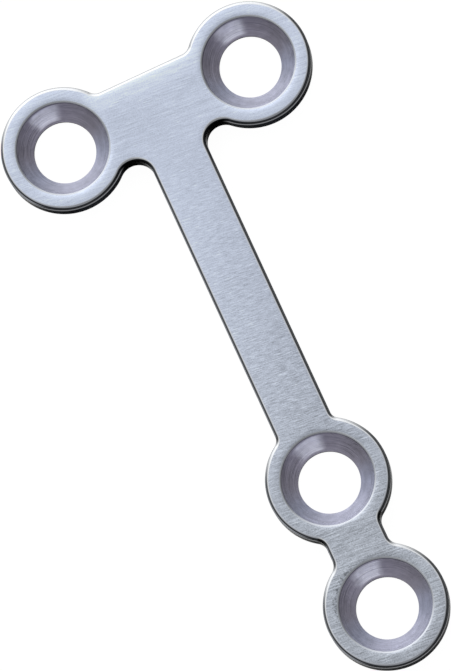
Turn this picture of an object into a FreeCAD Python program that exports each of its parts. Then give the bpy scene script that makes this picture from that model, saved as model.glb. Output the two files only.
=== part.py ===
import FreeCAD, Part
import math
import os
import Sketcher

# T-shaped bone plate, cut from one sheet, with four eyes for countersunk screws.
# Millimetres. The bone face lies on z = 0 and the screws go in from +Z. The head points to +Y.
# The origin is where the line through the two head holes crosses the middle line of the shaft.

# Driving dimensions: name, value, meaning
SIZES = (
    ("plate_thickness", "1.0", "bone face to screw face"),
    ("eye_diameter", "4.5", "outside of each eye"),
    ("head_hole_pitch", "7.35", "between the two head holes"),
    ("first_hole_distance", "15.0", "head hole line to the first shaft hole"),
    ("shaft_eye_gap", "0.5", "clearance between the two shaft eyes"),
    ("shaft_width", "2.15", "shaft and the waist between its eyes"),
    ("head_top_offset", "1.3", "hole line to the straight top edge of the head"),
    ("top_neck_radius", "0.45", "inner radius from a head eye to the top edge"),
    ("notch_radius", "0.65", "inner radius under the head, from the shaft to a head eye"),
    ("shaft_neck_radius", "0.35", "inner radius from the shaft to its first eye"),
    ("waist_radius", "0.46", "inner radii between the two shaft eyes"),
    ("screw_hole_diameter", "2.25", "straight wall of a screw hole"),
    ("countersink_diameter", "3.4", "mouth of a countersink on the screw face"),
    ("screw_hole_land", "0.1", "height of the straight wall under the cone"),
    ("screw_edge_radius", "0.13", "rounding of the outer edge on the screw face"),
    ("bone_edge_chamfer", "0.08", "chamfer of the outer edge on the bone face"),
    ("rim_chamfer", "0.04", "chamfer of the countersink's mouth"),
)

# The two shaft eyes stand clear of each other, whatever their diameter
SHAFT_HOLE_PITCH = "Sizes.eye_diameter + Sizes.shaft_eye_gap"

Z_AXIS = FreeCAD.Vector(0, 0, 1)
TOLERANCE = 1e-6
START = 1
END = 2
CENTRE = 3
ORIGIN = (-1, 1)
X_AXIS_LINE = -1
Y_AXIS_LINE = -2


def make_sheet(document):
    """Spreadsheet with one row for each driving dimension and an alias on its value."""
    sheet = document.addObject("Spreadsheet::Sheet", "Sizes")
    for row, (name, value, meaning) in enumerate(SIZES, start=1):
        sheet.set(f"A{row}", name)
        sheet.set(f"B{row}", value)
        sheet.set(f"C{row}", meaning)
        sheet.setAlias(f"B{row}", name)
    document.recompute()
    return sheet


def origin_plane(body, role):
    """The body's own origin plane with this role."""
    return next(plane for plane in body.Origin.OriginFeatures if plane.Role == role)


def new_sketch(body, name):
    """Sketch on the body's XY plane."""
    sketch = body.newObject("Sketcher::SketchObject", name)
    sketch.AttachmentSupport = (origin_plane(body, "XY_Plane"), [""])
    sketch.MapMode = "FlatFace"
    return sketch


def drive(sketch, name, expression, *constraint):
    """Add a dimension to a sketch, name it and bind it to the sheet."""
    index = sketch.addConstraint(Sketcher.Constraint(*constraint))
    sketch.renameConstraint(index, name)
    sketch.setExpression(f"Constraints.{name}", expression)


def toward(start, goal, distance):
    """Point at this distance from start on the way to goal."""
    way = goal - start
    return start + way * (distance / way.Length)


def arc_between(centre, radius, start, end):
    """Arc that turns anticlockwise about its centre from start to end."""
    circle = Part.Circle(centre, Z_AXIS, radius)
    return Part.ArcOfCircle(circle, circle.parameter(start), circle.parameter(end))


def hole_centres(sheet):
    """Centres of the four screw holes: two in the head, then two along the shaft."""
    side = sheet.head_hole_pitch / 2
    first = -sheet.first_hole_distance
    last = first - sheet.eye_diameter - sheet.shaft_eye_gap
    return [FreeCAD.Vector(*place, 0) for place in ((-side, 0), (side, 0), (0, first), (0, last))]


def draw_half_outline(sketch, sheet):
    """Right half of the plate's outline, from the foot up to the head, closed along the middle line.

    Every inner corner is an arc that runs smoothly into its neighbours, and each eye is part of a circle.
    """
    _, head_eye, first_eye, last_eye = hole_centres(sheet)
    eye = sheet.eye_diameter / 2
    side = sheet.shaft_width / 2
    foot = FreeCAD.Vector(0, last_eye.y - eye, 0)
    top = FreeCAD.Vector(0, sheet.head_top_offset, 0)

    # Centres of the inner radii
    waist = sheet.waist_radius
    waist_rise = math.sqrt((eye + waist) ** 2 - (side + waist) ** 2)
    waist_low = FreeCAD.Vector(side + waist, last_eye.y + waist_rise, 0)
    waist_high = FreeCAD.Vector(side + waist, first_eye.y - waist_rise, 0)
    shaft_neck = sheet.shaft_neck_radius
    shaft_rise = math.sqrt((eye + shaft_neck) ** 2 - (side + shaft_neck) ** 2)
    neck = FreeCAD.Vector(side + shaft_neck, first_eye.y + shaft_rise, 0)
    notch_radius = sheet.notch_radius
    notch_run = head_eye.x - side - notch_radius
    notch = FreeCAD.Vector(side + notch_radius, -math.sqrt((eye + notch_radius) ** 2 - notch_run ** 2), 0)
    top_neck = sheet.top_neck_radius
    top_rise = sheet.head_top_offset + top_neck
    top_run = math.sqrt((eye + top_neck) ** 2 - top_rise ** 2)
    shoulder = FreeCAD.Vector(head_eye.x - top_run, top_rise, 0)

    # Points where each stretch runs into the next
    foot_to_waist = toward(last_eye, waist_low, eye)
    waist_start = FreeCAD.Vector(side, waist_low.y, 0)
    waist_end = FreeCAD.Vector(side, waist_high.y, 0)
    waist_to_eye = toward(first_eye, waist_high, eye)
    eye_to_neck = toward(first_eye, neck, eye)
    shaft_start = FreeCAD.Vector(side, neck.y, 0)
    shaft_end = FreeCAD.Vector(side, notch.y, 0)
    notch_to_eye = toward(head_eye, notch, eye)
    eye_to_shoulder = toward(head_eye, shoulder, eye)
    top_start = FreeCAD.Vector(shoulder.x, top.y, 0)

    # Stretches in order, each with the ends at which the outline enters and leaves it
    stretches = {
        "last_eye": (arc_between(last_eye, eye, foot, foot_to_waist), START, END),
        "waist_low": (arc_between(waist_low, waist, waist_start, foot_to_waist), END, START),
        "waist_side": (Part.LineSegment(waist_start, waist_end), START, END),
        "waist_high": (arc_between(waist_high, waist, waist_to_eye, waist_end), END, START),
        "first_eye": (arc_between(first_eye, eye, waist_to_eye, eye_to_neck), START, END),
        "shaft_neck": (arc_between(neck, shaft_neck, shaft_start, eye_to_neck), END, START),
        "shaft_side": (Part.LineSegment(shaft_start, shaft_end), START, END),
        "notch": (arc_between(notch, notch_radius, notch_to_eye, shaft_end), END, START),
        "head_eye": (arc_between(head_eye, eye, notch_to_eye, eye_to_shoulder), START, END),
        "shoulder": (arc_between(shoulder, top_neck, top_start, eye_to_shoulder), END, START),
        "top_edge": (Part.LineSegment(top_start, top), START, END),
    }
    index = {name: sketch.addGeometry(stretch[0], False) for name, stretch in stretches.items()}
    order = list(stretches)
    for before, after in zip(order, order[1:]):
        leave = stretches[before][2]
        enter = stretches[after][1]
        sketch.addConstraint(Sketcher.Constraint("Tangent", index[before], leave, index[after], enter))

    # The middle line closes the half
    middle = sketch.addGeometry(Part.LineSegment(top, foot), False)
    sketch.addConstraint(Sketcher.Constraint("Coincident", index["top_edge"], END, middle, START))
    sketch.addConstraint(Sketcher.Constraint("Coincident", middle, END, index["last_eye"], START))
    sketch.addConstraint(Sketcher.Constraint("PointOnObject", middle, START, Y_AXIS_LINE))
    sketch.addConstraint(Sketcher.Constraint("PointOnObject", middle, END, Y_AXIS_LINE))

    # Directions and places
    sketch.addConstraint(Sketcher.Constraint("Horizontal", index["top_edge"]))
    sketch.addConstraint(Sketcher.Constraint("Vertical", index["waist_side"]))
    sketch.addConstraint(Sketcher.Constraint("Vertical", index["shaft_side"]))
    sketch.addConstraint(Sketcher.Constraint("PointOnObject", index["head_eye"], CENTRE, X_AXIS_LINE))
    sketch.addConstraint(Sketcher.Constraint("PointOnObject", index["first_eye"], CENTRE, Y_AXIS_LINE))
    sketch.addConstraint(Sketcher.Constraint("PointOnObject", index["last_eye"], CENTRE, Y_AXIS_LINE))
    drive(sketch, "head_eye_place", "Sizes.head_hole_pitch / 2",
          "DistanceX", *ORIGIN, index["head_eye"], CENTRE, head_eye.x)
    drive(sketch, "first_eye_place", "Sizes.first_hole_distance",
          "DistanceY", index["first_eye"], CENTRE, *ORIGIN, -first_eye.y)
    drive(sketch, "last_eye_place", SHAFT_HOLE_PITCH,
          "DistanceY", index["last_eye"], CENTRE, index["first_eye"], CENTRE, first_eye.y - last_eye.y)
    drive(sketch, "shaft_half_width", "Sizes.shaft_width / 2",
          "DistanceX", *ORIGIN, index["shaft_side"], START, side)
    drive(sketch, "waist_half_width", "Sizes.shaft_width / 2",
          "DistanceX", *ORIGIN, index["waist_side"], START, side)
    drive(sketch, "top_offset", "Sizes.head_top_offset",
          "DistanceY", *ORIGIN, index["top_edge"], END, top.y)

    # Radii
    for name in ("last_eye", "first_eye", "head_eye"):
        drive(sketch, f"{name}_radius", "Sizes.eye_diameter / 2", "Radius", index[name], eye)
    radii = {
        "waist_low": "waist_radius",
        "waist_high": "waist_radius",
        "shaft_neck": "shaft_neck_radius",
        "notch": "notch_radius",
        "shoulder": "top_neck_radius",
    }
    for name, size in radii.items():
        drive(sketch, f"{name}_radius", f"Sizes.{size}", "Radius", index[name], getattr(sheet, size))


def draw_hole_circles(sketch, sheet):
    """One circle for each screw hole, on the screw face."""
    radius = sheet.screw_hole_diameter / 2
    places = (
        ("head_left", "DistanceX", X_AXIS_LINE, "Sizes.head_hole_pitch / 2"),
        ("head_right", "DistanceX", X_AXIS_LINE, "Sizes.head_hole_pitch / 2"),
        ("shaft_first", "DistanceY", Y_AXIS_LINE, "Sizes.first_hole_distance"),
        ("shaft_last", "DistanceY", Y_AXIS_LINE, f"Sizes.first_hole_distance + {SHAFT_HOLE_PITCH}"),
    )
    for (name, direction, line, distance), centre in zip(places, hole_centres(sheet)):
        circle = sketch.addGeometry(Part.Circle(centre, Z_AXIS, radius), False)
        from_origin = centre.x + centre.y > 0
        ends = (*ORIGIN, circle, CENTRE) if from_origin else (circle, CENTRE, *ORIGIN)
        sketch.addConstraint(Sketcher.Constraint("PointOnObject", circle, CENTRE, line))
        drive(sketch, f"{name}_place", distance, direction, *ends, centre.Length)
        drive(sketch, f"{name}_radius", "Sizes.screw_hole_diameter / 2", "Radius", circle, radius)


def edges_where(feature, test):
    """Names of the edges of a feature's shape that pass the test."""
    edges = enumerate(feature.Shape.Edges, start=1)
    return [f"Edge{number}" for number, edge in edges if test(edge)]


def lies_at(edge, height):
    """Whether the whole edge lies at this height."""
    box = edge.BoundBox
    return abs(box.ZMin - height) < TOLERANCE and abs(box.ZMax - height) < TOLERANCE


def is_circle(edge, radius):
    """Whether the edge lies on a circle of this radius."""
    return isinstance(edge.Curve, Part.Circle) and abs(edge.Curve.Radius - radius) < TOLERANCE


def build_plate(document, sheet):
    """The plate's body: half blank, mirror, outer edges, countersunk holes, broken rims."""
    body = document.addObject("PartDesign::Body", "BonePlate")
    body.Label = "bone_plate"
    body.Placement = FreeCAD.Placement()

    outline = new_sketch(body, "HalfOutline")
    draw_half_outline(outline, sheet)
    half = body.newObject("PartDesign::Pad", "HalfBlank")
    half.Profile = outline
    half.setExpression("Length", "Sizes.plate_thickness")
    document.recompute()

    blank = body.newObject("PartDesign::Mirrored", "Blank")
    blank.Originals = [half]
    blank.MirrorPlane = (origin_plane(body, "YZ_Plane"), [""])
    blank.Refine = True
    body.Tip = blank
    document.recompute()

    thickness = sheet.plate_thickness
    rounded = body.newObject("PartDesign::Fillet", "RoundedEdge")
    rounded.Base = (blank, edges_where(blank, lambda edge: lies_at(edge, thickness)))
    rounded.setExpression("Radius", "Sizes.screw_edge_radius")
    document.recompute()

    chamfered = body.newObject("PartDesign::Chamfer", "ChamferedEdge")
    chamfered.Base = (rounded, edges_where(rounded, lambda edge: lies_at(edge, 0)))
    chamfered.setExpression("Size", "Sizes.bone_edge_chamfer")
    document.recompute()

    circles = new_sketch(body, "ScrewHoleCircles")
    circles.setExpression("AttachmentOffset.Base.z", "Sizes.plate_thickness")
    draw_hole_circles(circles, sheet)
    document.recompute()
    holes = body.newObject("PartDesign::Hole", "ScrewHoles")
    holes.Profile = circles
    holes.ThreadType = "None"
    holes.DepthType = "ThroughAll"
    holes.HoleCutType = "Countersink"
    holes.HoleCutCustomValues = True
    holes.setExpression("Diameter", "Sizes.screw_hole_diameter")
    holes.setExpression("HoleCutDiameter", "Sizes.countersink_diameter")
    cone_width = "(Sizes.countersink_diameter - Sizes.screw_hole_diameter) / 2"
    cone_depth = "(Sizes.plate_thickness - Sizes.screw_hole_land)"
    holes.setExpression("HoleCutCountersinkAngle", f"2 * atan({cone_width} / {cone_depth})")
    document.recompute()

    broken = body.newObject("PartDesign::Chamfer", "BrokenRims")
    mouth = sheet.countersink_diameter / 2
    rims = edges_where(holes, lambda edge: lies_at(edge, thickness) and is_circle(edge, mouth))
    broken.Base = (holes, rims)
    broken.setExpression("Size", "Sizes.rim_chamfer")
    body.Tip = broken
    document.recompute()
    return body


def check_document(document):
    """Stop if any object of the document failed to build or any sketch can still move."""
    for item in document.Objects:
        if {"Invalid", "Error"} & set(item.State):
            raise RuntimeError(f"{item.Label} failed to build: {item.State}")
        if item.TypeId == "Sketcher::SketchObject" and not item.FullyConstrained:
            raise RuntimeError(f"{item.Label} isn't fully constrained")


def check_plate(body, sheet):
    """Stop unless the plate is one valid solid with its four holes cut."""
    shape = body.Shape
    if shape.isNull() or not shape.isValid() or len(shape.Solids) != 1:
        raise RuntimeError(f"{body.Label} is not one valid solid")
    cut = body.Document.ChamferedEdge.Shape.Volume - shape.Volume
    hole_area = math.pi * sheet.screw_hole_diameter ** 2 / 4
    if cut < len(hole_centres(sheet)) * hole_area * sheet.plate_thickness:
        raise RuntimeError(f"the screw holes of {body.Label} are not cut")


def main():
    document = FreeCAD.newDocument("BonePlate")
    sheet = make_sheet(document)
    plate = build_plate(document, sheet)
    check_document(document)
    check_plate(plate, sheet)
    os.makedirs("parts", exist_ok=True)
    plate.Shape.exportStep(f"parts/{plate.Label}.step")
    box = plate.Shape.optimalBoundingBox(False)
    print(f"{plate.Label}: {box.XLength:.3f} x {box.YLength:.3f} x {box.ZLength:.3f} mm")


main()
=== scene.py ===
"""Bone plate on a white studio table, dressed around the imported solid."""

from __future__ import annotations

import logging
import math
from dataclasses import dataclass, field
from enum import Enum

import bpy
import numpy as np
from mathutils import Matrix, Vector
from mathutils.geometry import tessellate_polygon

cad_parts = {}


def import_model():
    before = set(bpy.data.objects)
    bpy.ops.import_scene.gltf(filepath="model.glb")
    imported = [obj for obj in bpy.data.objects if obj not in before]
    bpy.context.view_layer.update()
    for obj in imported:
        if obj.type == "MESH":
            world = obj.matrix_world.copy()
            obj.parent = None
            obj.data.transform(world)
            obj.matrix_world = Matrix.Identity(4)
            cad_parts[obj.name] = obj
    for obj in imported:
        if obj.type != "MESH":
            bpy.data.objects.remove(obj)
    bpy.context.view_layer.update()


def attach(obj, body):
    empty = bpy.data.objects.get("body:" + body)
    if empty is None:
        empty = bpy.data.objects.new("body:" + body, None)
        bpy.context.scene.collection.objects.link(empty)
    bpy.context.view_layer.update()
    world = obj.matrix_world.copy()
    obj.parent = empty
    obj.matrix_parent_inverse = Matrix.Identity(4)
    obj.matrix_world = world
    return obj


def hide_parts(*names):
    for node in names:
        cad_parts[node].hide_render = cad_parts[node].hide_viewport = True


MM = 0.001
IMAGE_HEIGHT_PX = 671
SAME_PLACE = 1e-9
MERGE_CELL = 1e-5 * MM
FACING = "facing"
WHITE = (1.0, 1.0, 1.0, 1.0)
TO_RIGHT_DEG = 0.0
TO_HEAD_DEG = 90.0
TO_LEFT_DEG = 180.0
TO_FOOT_DEG = 270.0
Colour = tuple[float, float, float]
Pair = tuple[float, float]
Window = tuple[float, float, float, float]
LOG = logging.getLogger("bone_plate")


class Signal:
    """A shader socket that takes part in Python arithmetic: each operator adds a Math node."""

    def __init__(self, book: "NodeBook", socket: bpy.types.NodeSocket) -> None:
        """Keep the socket and the node book it belongs to."""
        self.book = book
        self.socket = socket

    def _join(self, operation: str, first: object, second: object) -> "Signal":
        """Math node of one operation on two values."""
        return self.book.signal("ShaderNodeMath", {"operation": operation}, {0: first, 1: second})

    def __add__(self, other: object) -> "Signal":
        """Sum."""
        return self._join("ADD", self, other)

    __radd__ = __add__

    def __sub__(self, other: object) -> "Signal":
        """Difference."""
        return self._join("SUBTRACT", self, other)

    def __rsub__(self, other: object) -> "Signal":
        """Difference with the signal second."""
        return self._join("SUBTRACT", other, self)

    def __mul__(self, other: object) -> "Signal":
        """Product."""
        return self._join("MULTIPLY", self, other)

    __rmul__ = __mul__

    def __truediv__(self, other: object) -> "Signal":
        """Quotient."""
        return self._join("DIVIDE", self, other)

    def __pow__(self, other: object) -> "Signal":
        """Power."""
        return self._join("POWER", self, other)

    def spread(self, low: float, high: float, to_low: float = 0.0, to_high: float = 1.0) -> "Signal":
        """Map a range onto another one, smoothly and held at its ends.

        Args:
            low: value that becomes to_low.
            high: value that becomes to_high.
            to_low: result at and below low.
            to_high: result at and above high.

        Returns:
            The mapped signal.
        """
        values = {"Value": self, "From Min": low, "From Max": high, "To Min": to_low, "To Max": to_high}
        return self.book.signal("ShaderNodeMapRange", {"interpolation_type": "SMOOTHSTEP"}, values)

    def between(self, ends: Pair) -> "Signal":
        """Value that goes from the first end to the second as the signal goes from 0 to 1."""
        return ends[0] + self * (ends[1] - ends[0])

    def window(self, edges: Window) -> "Signal":
        """1 between the two inner edges of a window and 0 beyond its outer ones, with smooth fades."""
        low, full, fading, gone = edges
        return self.spread(low, full) * self.spread(gone, fading)


class NodeBook:
    """A material or a world whose nodes are all made by one method."""

    def __init__(self, owner: bpy.types.Material | bpy.types.World) -> None:
        """Empty the owner's node tree and keep both.

        Args:
            owner: the material or the world.
        """
        self.owner = owner
        self.owner.use_nodes = True
        self.tree = owner.node_tree
        self.tree.nodes.clear()

    @classmethod
    def material(cls, name: str) -> "NodeBook":
        """Node book of a new material."""
        return cls(bpy.data.materials.new(name))

    def node(self, kind: str, settings: dict | None = None, values: dict | None = None) -> bpy.types.Node:
        """Add one node.

        Args:
            kind: the node's type.
            settings: properties that are set before its sockets.
            values: socket name or number to a value, a Signal or a socket.

        Returns:
            The node.
        """
        node = self.tree.nodes.new(kind)
        for key, value in (settings or {}).items():
            setattr(node, key, value)
        for key, value in (values or {}).items():
            socket = node.inputs[key]
            source = value.socket if isinstance(value, Signal) else value
            if isinstance(source, bpy.types.NodeSocket):
                self.tree.links.new(source, socket)
            else:
                socket.default_value = source
        return node

    def signal(self, kind: str, settings: dict | None = None, values: dict | None = None,
               output: str | int = 0) -> Signal:
        """Add one node and return one of its outputs as a Signal."""
        return Signal(self, self.node(kind, settings, values).outputs[output])

    def place(self) -> Signal:
        """The piece's own coordinates, in metres."""
        return self.signal("ShaderNodeTexCoord", output="Object")

    def scaled(self, vector: Signal, scale: tuple[float, float, float], turn_deg: float = 0.0) -> Signal:
        """Turn a vector about Z, then scale each of its axes.

        Args:
            vector: the coordinates.
            scale: cells per unit along each axis.
            turn_deg: turn about Z before the scaling.

        Returns:
            The new coordinates.
        """
        turned = self.signal("ShaderNodeVectorRotate", {"rotation_type": "Z_AXIS"},
                             {"Vector": vector, "Angle": math.radians(turn_deg)})
        return self.signal("ShaderNodeVectorMath", {"operation": "MULTIPLY"}, {0: turned, 1: scale})

    def across(self) -> Signal:
        """Distance across a carried profile from its first point, in metres."""
        return self.part(self.signal("ShaderNodeUVMap", {"uv_map": "UVMap"}, output="UV"), "Y")

    def along_path(self, along: float, across: float) -> Signal:
        """Coordinates for lines that follow a carried profile, with no seam where its path closes.

        The piece's own x and y change slowly along the path, and the map's V runs across it in metres.

        Args:
            along: length of a cell along the path.
            across: width of a cell across it.

        Returns:
            The coordinates.
        """
        place = self.place()
        x, y = self.part(place, "X"), self.part(place, "Y")
        values = {"X": x * (1 / along), "Y": y * (1 / along), "Z": self.across() * (1 / across)}
        return self.signal("ShaderNodeCombineXYZ", None, values)

    def noise(self, vector: Signal, detail: float = 2.0, roughness: float = 0.5) -> Signal:
        """Noise of one cell per unit of the vector, from 0 to 1."""
        return self.signal("ShaderNodeTexNoise", {"noise_dimensions": "3D"},
                           {"Vector": vector, "Scale": 1.0, "Detail": detail, "Roughness": roughness})

    def specks(self, size: float, detail: Pair) -> Signal:
        """Noise of cells of one size, with these octaves and their roughness."""
        return self.noise(self.scaled(self.place(), (1 / size,) * 3), *detail)

    def facing_vector(self) -> Signal:
        """The facing that each surface stores: level direction out of the metal, then depth in a corner."""
        return self.signal("ShaderNodeAttribute", {"attribute_name": FACING}, output="Vector")

    def facing(self, bearing_deg: float) -> Signal:
        """Cosine between the level direction out of the metal and a bearing.

        Args:
            bearing_deg: the bearing, from +X towards +Y.

        Returns:
            1 where the metal's surface faces that way and -1 where it faces the other way.
        """
        turn = math.radians(bearing_deg)
        return self.signal("ShaderNodeVectorMath", {"operation": "DOT_PRODUCT"},
                           {0: self.facing_vector(), 1: (math.cos(turn), math.sin(turn), 0.0)}, "Value")

    def hollow(self) -> Signal:
        """How deep in an inner corner of the outline a place lies, from 0 to 1."""
        return self.part(self.facing_vector(), "Z")

    def part(self, vector: Signal, axis: str) -> Signal:
        """One coordinate of a vector."""
        return self.signal("ShaderNodeSeparateXYZ", None, {"Vector": vector}, axis)

    def blend(self, factor: Signal, first: Colour | Signal, second: Colour | Signal) -> Signal:
        """Mix two colours.

        Args:
            factor: 0 for the first colour, 1 for the second.
            first: the first colour.
            second: the second colour.

        Returns:
            The mixed colour.
        """
        ends = [(*colour, 1.0) if isinstance(colour, tuple) else colour for colour in (first, second)]
        return self.signal("ShaderNodeMix", {"data_type": "RGBA"},
                           {"Factor": factor, "A": ends[0], "B": ends[1]}, "Result")

    def dimmed(self, colour: Signal, level: Signal) -> Signal:
        """Colour times a level."""
        return self.signal("ShaderNodeVectorMath", {"operation": "SCALE"}, {0: colour, "Scale": level})

    def bump(self, height: Signal, depth: float) -> Signal:
        """Bump whose height signal spans this depth in metres."""
        return self.signal("ShaderNodeBump", None, {"Height": height, "Distance": depth, "Strength": 1.0})

    def metal(self, values: dict) -> Signal:
        """Metal surface of these socket values."""
        return self.signal("ShaderNodeBsdfPrincipled", None, {"Metallic": 1.0, **values}, "BSDF")

    def close(self, surface: Signal) -> bpy.types.Material:
        """Finish the material with its surface."""
        self.node("ShaderNodeOutputMaterial", None, {"Surface": surface})
        return self.owner


@dataclass(frozen=True)
class FineLines:
    """Fine lines along a carried profile, in the roughness and the relief of polished metal."""

    length: float = 0.8 * MM
    width: float = 0.03 * MM
    depth: float = 0.0008 * MM
    levels: Pair = (0.3, 0.7)
    roughness: Pair = (0.26, 0.16)

    def noise(self, book: NodeBook) -> Signal:
        """Noise that changes fast across the profile and slowly along it."""
        return book.noise(book.along_path(self.length, self.width))

    def sockets(self, book: NodeBook, lines: Signal) -> dict:
        """Roughness and normal of the metal."""
        rough = lines.spread(*self.levels, *self.roughness)
        return {"Roughness": rough, "Normal": book.bump(lines, self.depth)}


@dataclass(frozen=True)
class BrushedFace:
    """Flat face with fine strokes across the shaft, nicked at one rim, and with painted light and shade.

    The head's colour is bluer and brighter than the foot's, as painted light. Painted light also brightens
    the head's top between its eyes, and the head's eyes. Painted glints brighten short strokes, and painted
    light and shade make the shaft lighter on its left and darker on its right. A pair of weights is for the
    eyes and for the shaft between them. The contrast is for the foot and for the head. The cells of a kind
    of stroke are counted in plain strokes along it and across it, and for each millimetre up. A detail is
    the number of octaves and their roughness.
    """

    name: str
    # The head's bluer, brighter colour against the foot's is painted light.
    head: Colour = (0.655, 0.722, 0.872)
    foot: Colour = (0.51, 0.55, 0.62)
    foot_to_head_y: Pair = (-19.0 * MM, -2.0 * MM)
    contrast: Pair = (1.16, 0.49)
    shaft_window: Window = (-16.5 * MM, -13.0 * MM, -3.0 * MM, -1.0 * MM)
    # Painted light and shade across the shaft: lighter on its left, darker on its right.
    side_x: Pair = (-1.0 * MM, 1.0 * MM)
    side_shade: float = 0.055
    long_stroke: float = 0.65 * MM
    short_stroke: float = 0.33 * MM
    stroke_width: float = 0.036 * MM
    long_turn_deg: float = 5.0
    short_turn_deg: float = 7.0
    plain_cells: tuple[float, float, float] = (1.0, 1.0, 1.0)
    glint_cells: tuple[float, float, float] = (0.8, 0.9, 2.0)
    sweep_cells: tuple[float, float, float] = (0.2, 0.6, 1.0)
    stroke_detail: Pair = (3.0, 0.6)
    plain_detail: Pair = (2.0, 0.5)
    stroke_weight: Pair = (1.1, 1.7)
    sweep_weight: Pair = (0.8, 0.4)
    grain_weight: Pair = (1.1, 0.9)
    grain_size: float = 0.045 * MM
    grain_detail: Pair = (2.0, 0.6)
    grain_height: float = 0.5
    # Painted glints: the brightest short strokes, as painted highlights.
    glint_levels: Pair = (0.58, 0.7)
    glint_weight: float = 0.35
    cloud_size: float = 1.3 * MM
    cloud_weight: float = 0.16
    pit_stretch: float = 0.7
    pit_levels: Pair = (0.3, 0.2)
    pit_weight: float = 0.3
    groove_depth: float = 0.0012 * MM
    stroke_levels: Pair = (0.3, 0.7)
    roughness: Pair = (0.39, 0.29)
    # Painted light at the head's top between its eyes and on the head's eyes: where it starts, how much.
    painted_light_y: Pair = (0.1 * MM, 1.3 * MM)
    painted_light_x: Pair = (1.5 * MM, 2.6 * MM)
    top_painted_light: float = 0.26
    eye_painted_light: float = 0.08
    nick_size: float = 0.08 * MM
    nick_detail: Pair = (1.0, 0.5)
    nick_bearing_deg: float = 322.0
    nick_turn: Pair = (0.75, 0.92)
    nick_x: Pair = (0.0, -0.6 * MM)
    nick_y: Pair = (-17.6 * MM, -18.2 * MM)
    bright_nick_levels: Pair = (0.42, 0.36)
    bright_nick_weight: float = 0.25
    dark_nick_levels: Pair = (0.54, 0.6)
    dark_nick_weight: float = 0.45

    def strokes(self, book: NodeBook, length: float, turn_deg: float, cells: tuple[float, float, float],
                detail: Pair) -> Signal:
        """Noise stretched along one direction.

        Args:
            book: the material's node book.
            length: length of a plain stroke.
            turn_deg: turn of the strokes away from X.
            cells: cells for each plain stroke, along it and across it, and for each millimetre up.
            detail: octaves of the noise and their roughness.

        Returns:
            The noise.
        """
        along, across, up = cells
        scale = (along / length, across / self.stroke_width, up / MM)
        return book.noise(book.scaled(book.place(), scale, turn_deg), *detail)

    def nicks(self, book: NodeBook, x: Signal, y: Signal) -> Signal:
        """Small bright and dark nicks on the left of the last eye's rim, towards the head.

        Args:
            book: the material's node book.
            x: the place's x.
            y: the place's y.

        Returns:
            What they add to the level.
        """
        specks = book.specks(self.nick_size, self.nick_detail)
        beside_rim = (book.facing(self.nick_bearing_deg).spread(*self.nick_turn) * y.spread(*self.nick_y)
                      * x.spread(*self.nick_x))
        bright = specks.spread(*self.bright_nick_levels) * self.bright_nick_weight
        dark = specks.spread(*self.dark_nick_levels) * self.dark_nick_weight
        return (bright - dark) * beside_rim

    def material(self) -> bpy.types.Material:
        """Strokes from stretched noise, with grain, painted glints, pits, slow clouds and nicks.

        The strokes are long at the eyes and short on the shaft. Strokes and grain also give the relief.

        Returns:
            The material.
        """
        book = NodeBook.material(self.name)
        place = book.place()
        x, y = book.part(place, "X"), book.part(place, "Y")
        height = y.spread(*self.foot_to_head_y)
        # Painted light: brighter at the head's top between its eyes, and on the head's eyes.
        eyes = (x * x).spread(self.painted_light_x[0] ** 2, self.painted_light_x[1] ** 2)
        glow = y.spread(*self.painted_light_y) * (1.0 - eyes) * self.top_painted_light + eyes * self.eye_painted_light
        shaft = y.window(self.shaft_window)
        long_way = (self.long_stroke, self.long_turn_deg)
        short_way = (self.short_stroke, self.short_turn_deg)
        long = self.strokes(book, *long_way, self.plain_cells, self.stroke_detail)
        short = self.strokes(book, *short_way, self.plain_cells, self.stroke_detail)
        glints = self.strokes(book, *short_way, self.glint_cells, self.plain_detail)
        sweeps = self.strokes(book, *long_way, self.sweep_cells, self.plain_detail)
        strokes = long + (short - long) * shaft
        grain = book.specks(self.grain_size, self.grain_detail)
        cloud = book.specks(self.cloud_size, self.plain_detail)
        pit_scale = (self.pit_stretch / self.grain_size, 1 / self.grain_size, 1 / MM)
        pits = book.noise(book.scaled(place, pit_scale)).spread(*self.pit_levels)
        contrast = height.between(self.contrast)
        tone = ((strokes - 0.5) * shaft.between(self.stroke_weight)
                + (sweeps - 0.5) * shaft.between(self.sweep_weight)
                + (grain - 0.5) * shaft.between(self.grain_weight))
        # Painted glints: the brightest short strokes lift the colour as painted highlights.
        bright = glints.spread(*self.glint_levels) * self.glint_weight
        # Painted light and shade across the shaft: lighter on its left, darker on its right.
        shade = x.spread(*self.side_x, self.side_shade, -self.side_shade) * shaft
        level = (1.0 + (tone + bright) * contrast + (cloud - 0.5) * self.cloud_weight
                 - pits * contrast * self.pit_weight + glow + self.nicks(book, x, y) + shade)
        return book.close(book.metal({
            # Painted light: the colour runs from the foot's to the bluer, brighter head's.
            "Base Color": book.dimmed(book.blend(height, self.foot, self.head), level),
            "Roughness": strokes.spread(*self.stroke_levels, *self.roughness),
            "Normal": book.bump(strokes + grain * self.grain_height, self.groove_depth),
        }))


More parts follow.
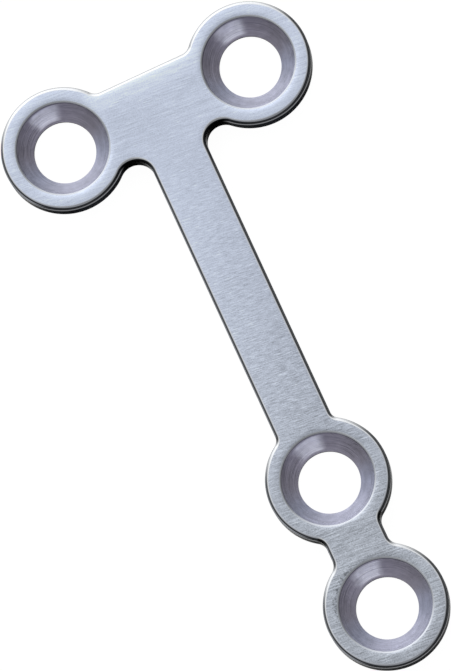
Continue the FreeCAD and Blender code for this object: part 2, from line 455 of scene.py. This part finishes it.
@dataclass(frozen=True)
class TurnedCone:
    """Countersink with fine turned grooves round its hole, two fans of painted sheen, and a dark line of
    painted shade at its mouth.

    The fans are painted reflections. The wide fan lies on the side of the foot and runs from dark through
    middle to light. The narrow one and the dark line lie on the side of the head. Painted light brightens
    the side of the head, and painted shade darkens the left. A wander shifts a fan's border with the
    streaks. A cell is its length along the path and its width across it.
    """

    name: str
    # Painted sheen: the wide fan's dark, middle and light colours, and the narrow fan's colour.
    dark: Colour = (0.2, 0.19, 0.24)
    middle: Colour = (0.265, 0.285, 0.395)
    light: Colour = (0.5, 0.51, 0.66)
    fan_sheen: Colour = (0.5, 0.505, 0.585)
    dark_to_middle: Pair = (-0.35, 0.55)
    middle_to_light: Pair = (0.25, 1.2)
    wide_wander: float = 0.2
    narrow_bearing_deg: float = 271.0
    narrow_wander: float = 0.12
    narrow_core: Pair = (0.84, 1.0)
    narrow_side: Pair = (-0.39, -0.12)
    narrow_window: Window = (0.05 * MM, 0.2 * MM, 0.88 * MM, 1.0 * MM)
    # Painted shade: a thin dark line near the mouth, on the side of the head.
    mouth_shade_span: Pair = (0.96 * MM, 1.01 * MM)
    mouth_side: Pair = (0.2, -0.3)
    mouth_shade: float = 0.5
    # Painted light on the side of the head, and painted shade on the left.
    head_side: Pair = (0.45, 0.8)
    head_light: float = 0.17
    left_side: Pair = (0.0, 1.0)
    left_shade: float = 0.14
    groove_cell: Pair = (1.5 * MM, 0.035 * MM)
    groove_detail: Pair = (2.0, 0.6)
    groove_weight: float = 0.9
    groove_depth: float = 0.012 * MM
    streak_cell: Pair = (0.25 * MM, 0.5 * MM)
    streak_weight: float = 0.3
    cloud_cell: Pair = (0.6 * MM, 0.3 * MM)
    cloud_weight: float = 0.4
    roughness: float = 0.3

    def material(self) -> bpy.types.Material:
        """Grooves from noise that changes fast up the cone's slope and slowly round the hole.

        The cone on the side of the foot faces the head, and the cone on the left faces right.

        Returns:
            The material.
        """
        book = NodeBook.material(self.name)
        grooves = book.noise(book.along_path(*self.groove_cell), *self.groove_detail)
        streaks = book.noise(book.along_path(*self.streak_cell))
        cloud = book.noise(book.along_path(*self.cloud_cell))
        up = book.across()
        to_head, to_right = book.facing(TO_HEAD_DEG), book.facing(TO_RIGHT_DEG)
        # Painted sheen: two fans of painted reflection, placed by which way the cone faces.
        wide = to_head + (streaks - 0.5) * self.wide_wander
        narrow = book.facing(self.narrow_bearing_deg) + (streaks - 0.5) * self.narrow_wander
        narrow = narrow.spread(*self.narrow_core) * to_right.spread(*self.narrow_side)
        narrow = narrow * up.window(self.narrow_window)
        # Painted shade: a thin dark line near the mouth, on the side of the head.
        painted_mouth_shade = up.spread(*self.mouth_shade_span) * to_head.spread(*self.mouth_side) * self.mouth_shade
        # Painted light on the side of the head, and painted shade on the left.
        painted_side_light = (book.facing(TO_FOOT_DEG).spread(*self.head_side) * self.head_light
                 - to_right.spread(*self.left_side) * self.left_shade)
        base = book.blend(wide.spread(*self.dark_to_middle), self.dark, self.middle)
        base = book.blend(wide.spread(*self.middle_to_light), base, self.light)
        level = (1.0 + (grooves - 0.5) * self.groove_weight + (streaks - 0.5) * self.streak_weight
                 + (cloud - 0.5) * self.cloud_weight + painted_side_light - painted_mouth_shade)
        return book.close(book.metal({
            "Base Color": book.dimmed(book.blend(narrow, base, self.fan_sheen), level),
            "Roughness": self.roughness,
            "Normal": book.bump(grooves, self.groove_depth),
        }))


@dataclass(frozen=True)
class PlateEdge:
    """Outer edge: a cut wall that looks dark from above, one grey line, a dark line and a polished rounding.

    The wall's metal reflects little at a grazing angle, which paints it dark as shade, and the grey
    line's reflects more, as a painted reflection. The dark line and the rounding take painted reflection
    and shade from the way the edge faces: darker towards the foot, with a painted highlight towards the
    head. On the left side the dark line is pale but for its top. In an inner corner that faces the foot,
    painted shade darkens all below the polish.
    """

    name: str
    # Above the wall these colours are painted reflection and shade, the rounding's highlight included.
    wall: Colour = (0.3, 0.31, 0.34)
    dark: Colour = (0.035, 0.036, 0.04)
    side: Colour = (0.12, 0.125, 0.13)
    pale: Colour = (0.4, 0.42, 0.46)
    shade: Colour = (0.67, 0.7, 0.77)
    polish_highlight: Colour = (0.84, 0.86, 0.89)
    wall_end: Pair = (0.86 * MM, 0.885 * MM)
    line_window: Window = (0.64 * MM, 0.76 * MM, 0.86 * MM, 0.885 * MM)
    pale_end: Pair = (0.935 * MM, 0.965 * MM)
    polish_start: Pair = (0.986 * MM, 0.9995 * MM)
    end_drop: float = 0.019 * MM
    end_drop_power: float = 4.0
    dark_to_side: Pair = (-0.9, 0.1)
    pale_side: Pair = (0.6, 0.9)
    highlight_side: Pair = (0.3, 0.95)
    # Inner corners that face the foot, and how far painted shade darkens them below the rounding.
    corner_side: Pair = (0.2, -0.5)
    corner_shade: float = 0.8
    shade_to_highlight: Pair = (-0.7, 0.7)
    # Grazing tints: none on the edge, as painted shade, and more on the grey line as painted reflection.
    grazing: float = 0.0
    line_grazing: float = 0.4
    grazing_side: Pair = (0.3, 0.9)
    side_share: float = 0.6
    lines: FineLines = FineLines()
    line_weight: float = 0.5

    def material(self) -> bpy.types.Material:
        """Colour from the height and from the side of the plate: painted reflection and shade.

        The polish starts lower down, by the drop, where the edge faces the head or the foot. Between them an
        even power of the cosine makes that drop smaller.

        Returns:
            The material.
        """
        book = NodeBook.material(self.name)
        lines = self.lines.noise(book)
        z = book.part(book.place(), "Z")
        hollow = book.hollow()
        to_head = book.facing(TO_HEAD_DEG)
        # Band under the rounding: painted shade facing the foot, painted reflection elsewhere.
        outer = (z.spread(*self.pale_end, 1.0, 0.0) * book.facing(TO_LEFT_DEG).spread(*self.pale_side)
                 * (1.0 - hollow))
        band = book.blend(to_head.spread(*self.dark_to_side), self.dark, self.side)
        band = book.blend(outer, band, self.pale)
        band = book.blend(to_head.spread(*self.highlight_side), band, self.polish_highlight)
        corner = hollow * to_head.spread(*self.corner_side)
        # Painted reflection on the rounding: shade facing the foot, highlight facing the head.
        rounding = book.blend((to_head + corner).spread(*self.shade_to_highlight), self.shade, self.polish_highlight)
        polished = (z + to_head ** self.end_drop_power * self.end_drop).spread(*self.polish_start)
        above_wall = z.spread(*self.wall_end)
        colour = book.blend(above_wall, self.wall, book.blend(polished, band, rounding))
        # Painted shade in inner corners that face the foot, below the rounding.
        shadow = corner * (1.0 - polished) * self.corner_shade
        level = (1.0 + (lines - 0.5) * self.line_weight) * (1.0 - shadow)
        common = {"Base Color": book.dimmed(colour, level), **self.lines.sockets(book, lines)}
        edge, stripe = (book.metal({"Specular Tint": (grazing,) * 3 + (1.0,), **common})
                        for grazing in (self.grazing, self.line_grazing))
        # Painted reflection: the grey line and the head's side above the wall get the brighter grazing tint.
        shown = (z.window(self.line_window) * (1.0 - hollow)
                 + above_wall * to_head.spread(*self.grazing_side) * self.side_share)
        return book.close(book.signal("ShaderNodeMixShader", None, {0: shown, 1: edge, 2: stripe}))


@dataclass(frozen=True)
class PolishedRim:
    """Narrow polished rim of a countersink, with fine lines round the hole."""

    name: str
    light: Colour = (0.7, 0.73, 0.79)
    dark: Colour = (0.6, 0.63, 0.69)
    lines: FineLines = FineLines()

    def material(self) -> bpy.types.Material:
        """Thin lines in colour, roughness and relief.

        Returns:
            The material.
        """
        book = NodeBook.material(self.name)
        lines = self.lines.noise(book)
        return book.close(book.metal({
            "Base Color": book.blend(lines.spread(*self.lines.levels), self.dark, self.light),
            **self.lines.sockets(book, lines),
        }))


class Zone(Enum):
    """Parts of the plate's surface, in the order of its material slots."""

    FACE = 0
    EDGE = 1
    CONE = 2
    RIM = 3


@dataclass
class Patch:
    """One surface: points, normals, map, facing, corners of each face, and zone.

    The facing is the level direction out of the metal, x and y, and then the depth in an inner corner.
    """

    points: np.ndarray
    normals: np.ndarray
    uv: np.ndarray
    facing: np.ndarray
    faces: np.ndarray
    zone: Zone


def grid_faces(rows: int, columns: int) -> np.ndarray:
    """Quads of a grid of points.

    Args:
        rows: number of stations along the path.
        columns: number of points across it.

    Returns:
        Four point numbers for each quad: along the path, across, and back.
    """
    row, column = np.meshgrid(np.arange(rows - 1), np.arange(columns - 1), indexing="ij")
    first = row * columns + column
    second = first + columns
    return np.stack([first, second, second + 1, first + 1], axis=-1).reshape(-1, 4)


def straight(start: tuple[float, float], end: tuple[float, float]) -> tuple[np.ndarray, np.ndarray]:
    """Straight stretch of a profile and the normal along it, both from the bone face up.

    Args:
        start: inset and height where it starts.
        end: inset and height where it ends.

    Returns:
        The two points, and for each the outward and upward part of the normal.
    """
    way = np.array(end) - np.array(start)
    facing = way[::-1] / math.hypot(*way)
    return np.array([start, end]), np.array([facing, facing])


def carried_profile(path: np.ndarray, outward: np.ndarray, profile: np.ndarray, slopes: np.ndarray,
                    zone: Zone, hollow: np.ndarray | float = 0.0) -> Patch:
    """Carry a profile along a closed path.

    A point is the path's point less its outward direction times the profile's inset, raised to the profile's
    height. The path's last station repeats its first, so the map runs on without a jump.

    Args:
        path: stations of the path, x and y.
        outward: unit direction out of the plate at each station.
        profile: inset and height of each point of the profile, from the bone face up.
        slopes: outward and upward part of the normal at each point of the profile.
        zone: part of the surface.
        hollow: how deep in an inner corner each station lies, from 0 to 1.

    Returns:
        The surface.
    """
    rows, columns = len(path), len(profile)
    inset, height = profile[:, 0], profile[:, 1]
    flat = path[:, None, :] - outward[:, None, :] * inset[None, :, None]
    tall = np.broadcast_to(height[None, :, None], (rows, columns, 1))
    points = np.concatenate([flat, tall], axis=2)
    lean = outward[:, None, :] * slopes[None, :, 0, None]
    rise = np.broadcast_to(slopes[None, :, 1, None], (rows, columns, 1))
    normals = np.concatenate([lean, rise], axis=2)
    along = np.r_[0.0, np.cumsum(np.hypot(*np.diff(path, axis=0).T))]
    across = np.r_[0.0, np.cumsum(np.hypot(*np.diff(profile, axis=0).T))]
    uv = np.stack(np.meshgrid(along, across, indexing="ij"), axis=-1)
    station = np.column_stack([outward, np.broadcast_to(hollow, rows)])
    facing = np.broadcast_to(station[:, None, :], (rows, columns, 3))
    return Patch(points.reshape(-1, 3), normals.reshape(-1, 3), uv.reshape(-1, 2), facing.reshape(-1, 3),
                 grid_faces(rows, columns), zone)


def circle_path(centre: np.ndarray, radius: float, stations: int) -> tuple[np.ndarray, np.ndarray]:
    """Closed circle, anticlockwise, and the directions out of the metal round a hole.

    Args:
        centre: centre, x and y.
        radius: radius.
        stations: number of stations, the repeated first one not counted.

    Returns:
        The stations, and at each the direction towards the centre.
    """
    turn = np.linspace(0.0, 2 * np.pi, stations + 1)
    spoke = np.stack([np.cos(turn), np.sin(turn)], axis=1)
    return centre + radius * spoke, -spoke


def arc(centre: np.ndarray, radius: float, start: float, end: float, way: int, step: float) -> np.ndarray:
    """Arc of an outline that runs anticlockwise round the metal.

    The metal is inside an arc that turns anticlockwise and outside one that turns clockwise. So the
    direction out of it is the spoke times the way of turning. Angles are in radians.

    Args:
        centre: centre, x and y.
        radius: radius.
        start: angle of the first point.
        end: angle of the last point.
        way: 1 for anticlockwise, -1 for clockwise.
        step: distance between points, at most.

    Returns:
        Rows of x and y, the direction out of the metal, and how deep in an inner corner they lie: 0 on an
        outer arc, and on an inner one twice the sine of its share of a half turn, held at 1.
    """
    sweep = way * ((way * (end - start)) % (2 * math.pi))
    count = math.ceil(abs(sweep) * radius / step)
    turn = start + np.linspace(0.0, sweep, count + 1)
    spoke = np.stack([np.cos(turn), np.sin(turn)], axis=1)
    depth = np.minimum(2 * np.sin(np.linspace(0.0, np.pi, count + 1)), 1.0) * float(way < 0)
    return np.column_stack([centre + radius * spoke, way * spoke, depth])


def bearing(start: np.ndarray, goal: np.ndarray) -> float:
    """Angle of the way from one point to another."""
    way = goal - start
    return math.atan2(way[1], way[0])


@dataclass
class BonePlate:
    """T-shaped plate with four countersunk eyes, in metres. The bone face lies on z = 0."""

    thickness: float = 1.0 * MM
    eye_radius: float = 2.25 * MM
    head_hole_pitch: float = 7.35 * MM
    first_hole_distance: float = 15.0 * MM
    shaft_hole_pitch: float = 5.0 * MM
    shaft_half_width: float = 1.075 * MM
    head_top_offset: float = 1.3 * MM
    top_neck_radius: float = 0.45 * MM
    notch_radius: float = 0.65 * MM
    shaft_neck_radius: float = 0.35 * MM
    waist_radius: float = 0.46 * MM
    hole_radius: float = 1.125 * MM
    mouth_radius: float = 1.7 * MM
    land_height: float = 0.1 * MM
    edge_radius: float = 0.13 * MM
    bone_edge_chamfer: float = 0.08 * MM
    rim_chamfer: float = 0.04 * MM
    rim_foot_deg: float = 59.0
    lip_width: float = 0.2 * MM
    hole_lip_width: float = 0.16 * MM
    lip_tilt_deg: float = 5.0
    hole_lip_tilt_deg: float = 12.0
    path_step: float = 0.06 * MM
    rounding_steps: int = 8
    hole_stations: int = 160
    patches: list[Patch] = field(default_factory=list)

    def hole_centres(self) -> np.ndarray:
        """Centres of the four holes.

        Returns:
            Rows of x and y: the head's left and right hole, then the shaft's first and last.
        """
        side = self.head_hole_pitch / 2
        first = -self.first_hole_distance
        return np.array([[-side, 0.0], [side, 0.0], [0.0, first], [0.0, first - self.shaft_hole_pitch]])

    def outline(self) -> tuple[np.ndarray, np.ndarray, np.ndarray]:
        """Closed outline, anticlockwise, with the direction out of the plate at each station.

        The right half runs from the foot up to the head: eye, inner radius, straight side, inner radius, and
        so on, each arc meeting its neighbours smoothly. The left half is its mirror image. The centre of an
        inner radius is as far from the eye's as both radii together, and its own radius away from the
        straight side, so Pythagoras gives how far along that side it stands.

        Returns:
            The stations, the first repeated at the end, their outward directions, and how deep in an inner
            corner they lie.
        """
        _, head_eye, first_eye, last_eye = self.hole_centres()
        eye, side, step = self.eye_radius, self.shaft_half_width, self.path_step
        waist = self.waist_radius
        waist_rise = math.sqrt((eye + waist) ** 2 - (side + waist) ** 2)
        waist_low = last_eye + [side + waist, waist_rise]
        waist_high = first_eye + [side + waist, -waist_rise]
        neck_rise = math.sqrt((eye + self.shaft_neck_radius) ** 2 - (side + self.shaft_neck_radius) ** 2)
        neck = first_eye + [side + self.shaft_neck_radius, neck_rise]
        notch_x = side + self.notch_radius
        notch_drop = math.sqrt((eye + self.notch_radius) ** 2 - (head_eye[0] - notch_x) ** 2)
        notch = np.array([notch_x, -notch_drop])
        top_rise = self.head_top_offset + self.top_neck_radius
        top_run = math.sqrt((eye + self.top_neck_radius) ** 2 - top_rise ** 2)
        shoulder = head_eye + [-top_run, top_rise]
        down, left = -math.pi / 2, math.pi
        half = np.concatenate([
            arc(last_eye, eye, down, bearing(last_eye, waist_low), 1, step),
            arc(waist_low, waist, bearing(waist_low, last_eye), left, -1, step),
            arc(waist_high, waist, left, bearing(waist_high, first_eye), -1, step),
            arc(first_eye, eye, bearing(first_eye, waist_high), bearing(first_eye, neck), 1, step),
            arc(neck, self.shaft_neck_radius, bearing(neck, first_eye), left, -1, step),
            arc(notch, self.notch_radius, left, bearing(notch, head_eye), -1, step),
            arc(head_eye, eye, bearing(head_eye, notch), bearing(head_eye, shoulder), 1, step),
            arc(shoulder, self.top_neck_radius, bearing(shoulder, head_eye), down, -1, step),
        ])
        loop = np.concatenate([half, half[::-1] * [-1.0, 1.0, -1.0, 1.0, 1.0]])
        gaps = np.hypot(*np.diff(loop[:, :2], axis=0).T)
        loop = loop[np.r_[True, gaps > SAME_PLACE]]
        return loop[:, :2], loop[:, 2:4], loop[:, 4]

    def build(self) -> bpy.types.Object:
        """Make the plate's surfaces and join them into one closed mesh.

        The rounding's normals stop short of upright by the lip's tilt, so the sheen runs on over the lip.
        The cone stops short of its mouth by the rim's chamfer, measured up its slope.

        Returns:
            The new piece.
        """
        path, outward, hollow = self.outline()
        top, land = self.thickness, self.land_height
        tilt, hole_tilt = math.radians(self.lip_tilt_deg), math.radians(self.hole_lip_tilt_deg)
        chamfer, radius, lip = self.bone_edge_chamfer, self.edge_radius, self.lip_width
        turn = np.linspace(0.0, math.pi / 2, self.rounding_steps + 1)
        lean = turn * (1 - tilt / turn[-1])
        rounding = np.stack([radius * (1 - np.cos(turn)), top - radius * (1 - np.sin(turn))], axis=1)
        rounding_slopes = np.stack([np.cos(lean), np.sin(lean)], axis=1)
        bone_edge = straight((chamfer, 0.0), (0.0, chamfer))
        wall = straight((0.0, chamfer), (0.0, top - radius))
        self.patches = [
            carried_profile(path, outward, *bone_edge, Zone.EDGE, hollow),
            carried_profile(path, outward, *wall, Zone.EDGE, hollow),
            carried_profile(path, outward, rounding, rounding_slopes, Zone.EDGE, hollow),
            carried_profile(path, outward, *self.lip(radius, lip, tilt), Zone.FACE),
        ]
        run, rise = self.mouth_radius - self.hole_radius, top - land
        share = 1 - self.rim_chamfer / math.hypot(run, rise)
        foot = (run * share, land + rise * share)
        mouth = (run + self.rim_chamfer, top)
        rim_foot = math.radians(self.rim_foot_deg)
        rim_slopes = np.array([[math.cos(rim_foot), math.sin(rim_foot)],
                               [math.sin(hole_tilt), math.cos(hole_tilt)]])
        loops = {top: [path - outward * (radius + lip)], 0.0: [path - outward * chamfer]}
        for centre in self.hole_centres():
            hole, inward = circle_path(centre, self.hole_radius, self.hole_stations)
            for profile, slopes, zone in (
                (*straight((0.0, 0.0), (0.0, land)), Zone.EDGE),
                (*straight((0.0, land), foot), Zone.CONE),
                (np.array([foot, mouth]), rim_slopes, Zone.RIM),
                (*self.lip(mouth[0], self.hole_lip_width, hole_tilt), Zone.FACE),
            ):
                patch = carried_profile(hole, inward, profile, slopes, zone)
                patch.faces = patch.faces[:, ::-1]
                self.patches.append(patch)
            loops[top].append(hole - inward * (mouth[0] + self.hole_lip_width))
            loops[0.0].append(hole)
        for height, rings in loops.items():
            self.patches.append(self.flat_face(rings, height))
        return self.join("plate")

    def lip(self, inset: float, width: float, tilt: float) -> tuple[np.ndarray, np.ndarray]:
        """Border of the screw face next to an edge, worn so that its normal leans a little over the edge.

        Args:
            inset: where the border starts.
            width: how wide it is.
            tilt: lean of the normal where it starts.

        Returns:
            The two points of its profile, and for each the outward and upward part of the normal.
        """
        profile = np.array([[inset, self.thickness], [inset + width, self.thickness]])
        return profile, np.array([[math.sin(tilt), math.cos(tilt)], [0.0, 1.0]])

    def flat_face(self, rings: list[np.ndarray], height: float) -> Patch:
        """Flat face between the outline and the four holes.

        Args:
            rings: closed loops of x and y, the outline's first.
            height: height of the face, which looks down at 0 and up above it.

        Returns:
            The surface.
        """
        open_rings = [ring[:-1] for ring in rings]
        flat = np.concatenate(open_rings)
        triangles = tessellate_polygon([[Vector((x, y, 0.0)) for x, y in ring] for ring in open_rings])
        faces = np.array(triangles)
        first, second, third = (flat[faces[:, corner]] for corner in range(3))
        turning = np.cross(second - first, third - first)
        up = height > 0
        wrong = (turning > 0) != up
        faces[wrong] = faces[wrong][:, ::-1]
        points = np.column_stack([flat, np.full(len(flat), height)])
        normals = np.tile([0.0, 0.0, 1.0 if up else -1.0], (len(flat), 1))
        return Patch(points, normals, flat, np.zeros_like(points), faces, Zone.FACE)

    def join(self, name: str) -> bpy.types.Object:
        """Merge the patches at their shared borders, and keep each patch's own normals and map.

        Args:
            name: the piece's name.

        Returns:
            The piece.
        """
        points = np.concatenate([patch.points for patch in self.patches])
        normals = np.concatenate([patch.normals for patch in self.patches])
        uv = np.concatenate([patch.uv for patch in self.patches])
        facing = np.concatenate([patch.facing for patch in self.patches])
        starts = np.r_[0, np.cumsum([len(patch.points) for patch in self.patches])]
        corners, sizes, zones = [], [], []
        for patch, start in zip(self.patches, starts):
            corners.append((patch.faces + start).ravel())
            sizes.append(np.full(len(patch.faces), patch.faces.shape[1]))
            zones.append(np.full(len(patch.faces), patch.zone.value))
        corner = np.concatenate(corners)
        size = np.concatenate(sizes)
        cells = np.round(points / MERGE_CELL).astype(np.int64)
        _, kept, merged = np.unique(cells, axis=0, return_index=True, return_inverse=True)
        mesh = bpy.data.meshes.new(name)
        mesh.vertices.add(len(kept))
        mesh.vertices.foreach_set("co", points[kept].astype(np.float32).ravel())
        mesh.loops.add(len(corner))
        mesh.loops.foreach_set("vertex_index", merged.ravel()[corner].astype(np.int32))
        mesh.polygons.add(len(size))
        mesh.polygons.foreach_set("loop_start", np.r_[0, np.cumsum(size)[:-1]].astype(np.int32))
        mesh.polygons.foreach_set("material_index", np.concatenate(zones).astype(np.int32))
        mesh.update(calc_edges=True)
        mesh.uv_layers.new(name="UVMap").data.foreach_set("uv", uv[corner].astype(np.float32).ravel())
        mesh.attributes.new(FACING, "FLOAT_VECTOR", "CORNER").data.foreach_set(
            "vector", facing[corner].astype(np.float32).ravel())
        mesh.polygons.foreach_set("use_smooth", np.ones(len(size), bool))
        mesh.normals_split_custom_set(normals[corner])
        if mesh.validate():
            raise ValueError(f"{name} had faulty faces")
        piece = bpy.data.objects.new(name, mesh)
        bpy.context.scene.collection.objects.link(piece)
        return piece

    def dress(self, piece: bpy.types.Object) -> None:
        """Give each zone its finish, in the order of the zones.

        Args:
            piece: the plate.
        """
        finishes = {
            Zone.FACE: BrushedFace("brushed_face"),
            Zone.EDGE: PlateEdge("cut_edge"),
            Zone.CONE: TurnedCone("turned_cone"),
            Zone.RIM: PolishedRim("polished_rim"),
        }
        for zone in Zone:
            piece.data.materials.append(finishes[zone].material())


@dataclass(frozen=True)
class Studio:
    """White table, soft light and the camera.

    The lights are strengths of a world that changes with direction. A span is where one light takes over
    from another: by the sine of azimuth for the side light, and by the direction's height for the panel
    overhead.
    """

    look_at: tuple[float, float, float] = (-1.1849 * MM, -8.5374 * MM, 0.0)
    camera_distance: float = 340.0 * MM
    elevation_deg: float = 79.061
    azimuth_deg: float = 3.953
    roll_deg: float = -28.726
    focal_px: float = 9480.51
    sensor: float = 36.0
    camera_clip: Pair = (0.01, 10.0)
    table_half: float = 2.0
    table_colour: tuple[float, float, float, float] = (0.8, 0.8, 0.8, 1.0)
    table_glow: float = 1.13
    glow_share: float = 0.85
    room_light: float = 0.32
    side_light: float = 1.3
    side_span: Pair = (0.3, 1.05)
    panel_light: float = 0.63
    panel_growth: float = 1.1
    panel_lean: float = -0.05
    panel_span: Pair = (0.72, 0.9)
    left_share: float = 0.25
    zenith_floor: float = 1e-4

    def camera(self) -> None:
        """Camera whose long side sees the photograph's height.

        The way back to the camera comes from elevation and azimuth. Its up and right are turned by the roll.
        """
        elevation, azimuth, roll = map(math.radians, (self.elevation_deg, self.azimuth_deg, self.roll_deg))
        back = Vector((math.cos(elevation) * math.sin(azimuth),
                       -math.cos(elevation) * math.cos(azimuth),
                       math.sin(elevation)))
        level = Vector((0.0, 0.0, 1.0)).cross(back).normalized()
        upright = back.cross(level)
        right = math.cos(roll) * level + math.sin(roll) * upright
        up = -math.sin(roll) * level + math.cos(roll) * upright
        data = bpy.data.cameras.new("camera")
        data.sensor_fit = "AUTO"
        data.sensor_width = self.sensor
        data.lens = self.focal_px * self.sensor / IMAGE_HEIGHT_PX
        data.clip_start, data.clip_end = self.camera_clip
        camera = bpy.data.objects.new("camera", data)
        turned = Matrix((right, up, back)).transposed().to_4x4()
        camera.matrix_world = Matrix.Translation(Vector(self.look_at) + back * self.camera_distance) @ turned
        bpy.context.scene.collection.objects.link(camera)
        bpy.context.scene.camera = camera

    def table(self) -> None:
        """Large white table top under the plate, that shows plain white to the camera but keeps a shadow."""
        half = self.table_half
        corners = [(-half, -half, 0), (half, -half, 0), (half, half, 0), (-half, half, 0)]
        mesh = bpy.data.meshes.new("table")
        mesh.from_pydata(corners, [], [(0, 1, 2, 3)])
        table = bpy.data.objects.new("table", mesh)
        bpy.context.scene.collection.objects.link(table)
        book = NodeBook.material("table_white")
        path = book.node("ShaderNodeLightPath")
        seen = [Signal(book, path.outputs[name]) for name in
                ("Is Camera Ray", "Is Glossy Ray", "Is Transmission Ray")]
        count = seen[0] + seen[1] + seen[2]
        shown = book.signal("ShaderNodeMath", {"operation": "MINIMUM"}, {0: count, 1: 1.0})
        glow = book.signal("ShaderNodeEmission", None, {"Color": WHITE, "Strength": self.table_glow})
        matt = book.signal("ShaderNodeBsdfDiffuse", None, {"Color": self.table_colour})
        mixed = book.signal("ShaderNodeMixShader", None, {0: shown * self.glow_share, 1: matt, 2: glow})
        mesh.materials.append(book.close(mixed))

    def lights(self) -> None:
        """Soft light overhead and behind the head, in a room that is dark on its other sides.

        Low down, the light grows with the sine of its azimuth, which is 1 behind the head. Near the zenith
        it is the overhead panel's.
        """
        world = bpy.data.worlds.new("room")
        book = NodeBook(world)
        way = book.signal("ShaderNodeTexCoord", output="Generated")
        x, y, z = (book.part(way, axis) for axis in "XYZ")
        flat = (x * x + y * y + self.zenith_floor) ** 0.5
        behind_head = (y / flat).spread(*self.side_span, self.room_light, self.side_light)
        overhead = (z + y * self.panel_lean).spread(*self.panel_span)
        panel = (1 + y * self.panel_growth) * self.panel_light
        light = (behind_head * (1 - overhead) + overhead * panel) * (1 - x * self.left_share)
        background = book.signal("ShaderNodeBackground", None, {"Color": WHITE, "Strength": light})
        book.node("ShaderNodeOutputWorld", None, {"Surface": background})
        bpy.context.scene.world = world


def main() -> None:
    """Load the plate, dress it and light it."""
    logging.basicConfig(level=logging.INFO, format="%(name)s: %(message)s")
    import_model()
    plate = BonePlate()
    piece = plate.build()
    plate.dress(piece)
    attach(piece, "root")
    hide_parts("bone_plate")
    LOG.info("plate: %d faces", len(piece.data.polygons))
    studio = Studio()
    studio.table()
    studio.lights()
    studio.camera()
    bpy.context.scene.view_settings.view_transform = "Standard"


if __name__ == "__main__":
    main()
